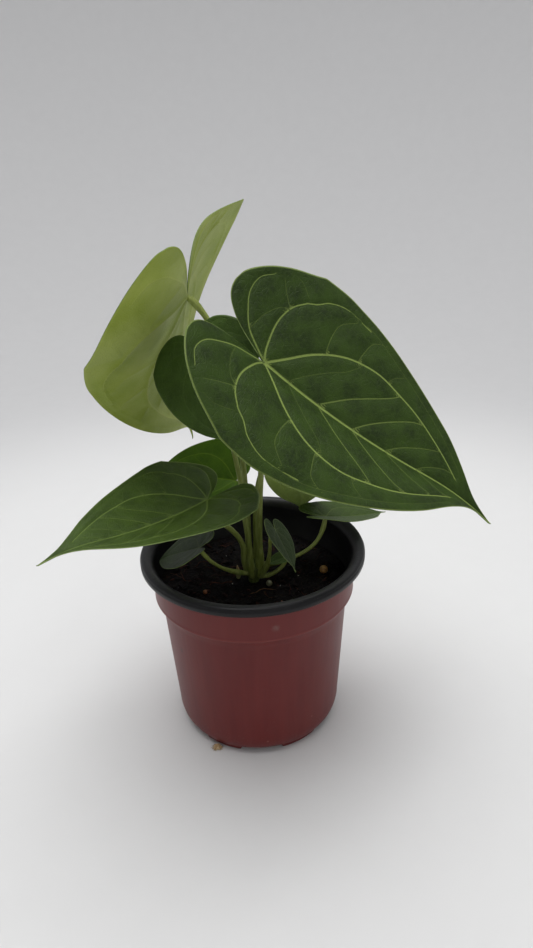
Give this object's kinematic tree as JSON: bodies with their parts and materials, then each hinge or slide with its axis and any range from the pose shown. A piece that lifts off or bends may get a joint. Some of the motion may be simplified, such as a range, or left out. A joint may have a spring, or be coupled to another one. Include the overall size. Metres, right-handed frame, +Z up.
{
  "type": "potted anthurium plant",
  "caption": "Small anthurium with heart-shaped, pale-veined leaves on slender stalks, growing in a round plastic nursery pot of potting mix",
  "frame": {"origin": "on the ground under the middle of the pot, at the middle of its underside pad", "axes": "+Z up; the plant's show side, where its biggest leaf hangs, faces -Y; +X is to the right of a viewer on that side"},
  "size_m": [0.1818, 0.1564, 0.24],
  "materials": {
    "pot": "satin moulded plastic, red-brown outside, black rim and inside",
    "mix": "damp bark and peat mix, rough",
    "stalk": "smooth living stem, satin",
    "blade": "velvety leaf with pale raised veins",
    "pale_blade": "leaf shown by its pale underside",
    "prill": "coated fertiliser bead",
    "root": "dry root fibre"
  },
  "bodies": {
    "root": {"nursery_pot": "pot", "potting_mix": "mix", "crown": "stalk", "leaf_01_blade": "blade", "leaf_01_stalk": "stalk", "leaf_02_blade": "pale_blade", "leaf_02_stalk": "stalk", "leaf_03_blade": "blade", "leaf_03_stalk": "stalk", "leaf_04_blade": "blade", "leaf_04_stalk": "stalk", "leaf_05_blade": "blade", "leaf_05_stalk": "stalk", "leaf_06_blade": "pale_blade", "leaf_06_stalk": "stalk", "leaf_07_blade": "blade", "leaf_07_stalk": "stalk", "leaf_08_blade": "blade", "leaf_08_stalk": "stalk", "leaf_09_blade": "blade", "leaf_09_stalk": "stalk", "leaf_10_blade": "blade", "leaf_10_stalk": "stalk", "new_shoot": "stalk", "fertiliser_prill_1": "prill", "fertiliser_prill_2": "prill", "fertiliser_prill_3": "prill", "fertiliser_prill_4": "prill", "root_tuft": "root"}
  },
  "joints": []
}
